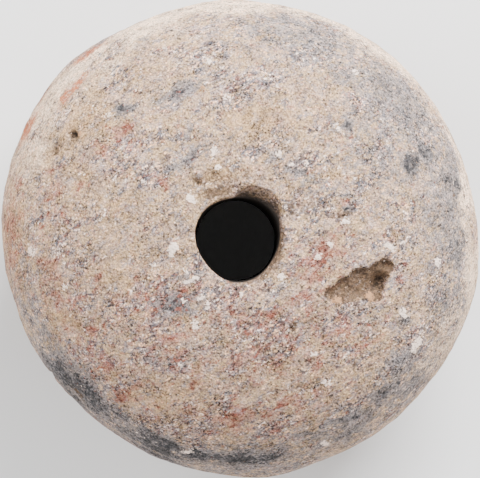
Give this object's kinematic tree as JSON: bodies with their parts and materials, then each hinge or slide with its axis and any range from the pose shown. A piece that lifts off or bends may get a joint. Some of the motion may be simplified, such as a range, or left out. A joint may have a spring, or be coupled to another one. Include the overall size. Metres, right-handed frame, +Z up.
{
  "type": "clay spindle whorl",
  "caption": "Hand-shaped fired-clay spindle whorl: a flattened ball pierced from top to bottom for the spindle, with a worn mouth and a gouge.",
  "frame": {"origin": "the point on the spindle hole's axis that is level with the underside, close to the middle of the base", "axes": "+Z up along the spindle hole, +X towards the side with the gouge, +Y towards the side with the chip in the hole's mouth; the whorl lies on its underside with the hole upright"},
  "size_m": [0.0401, 0.04, 0.025],
  "materials": {
    "fired_clay": "rough, earthy, unglazed, with pale grit"
  },
  "bodies": {
    "root": {"whorl": "fired_clay"}
  },
  "joints": []
}
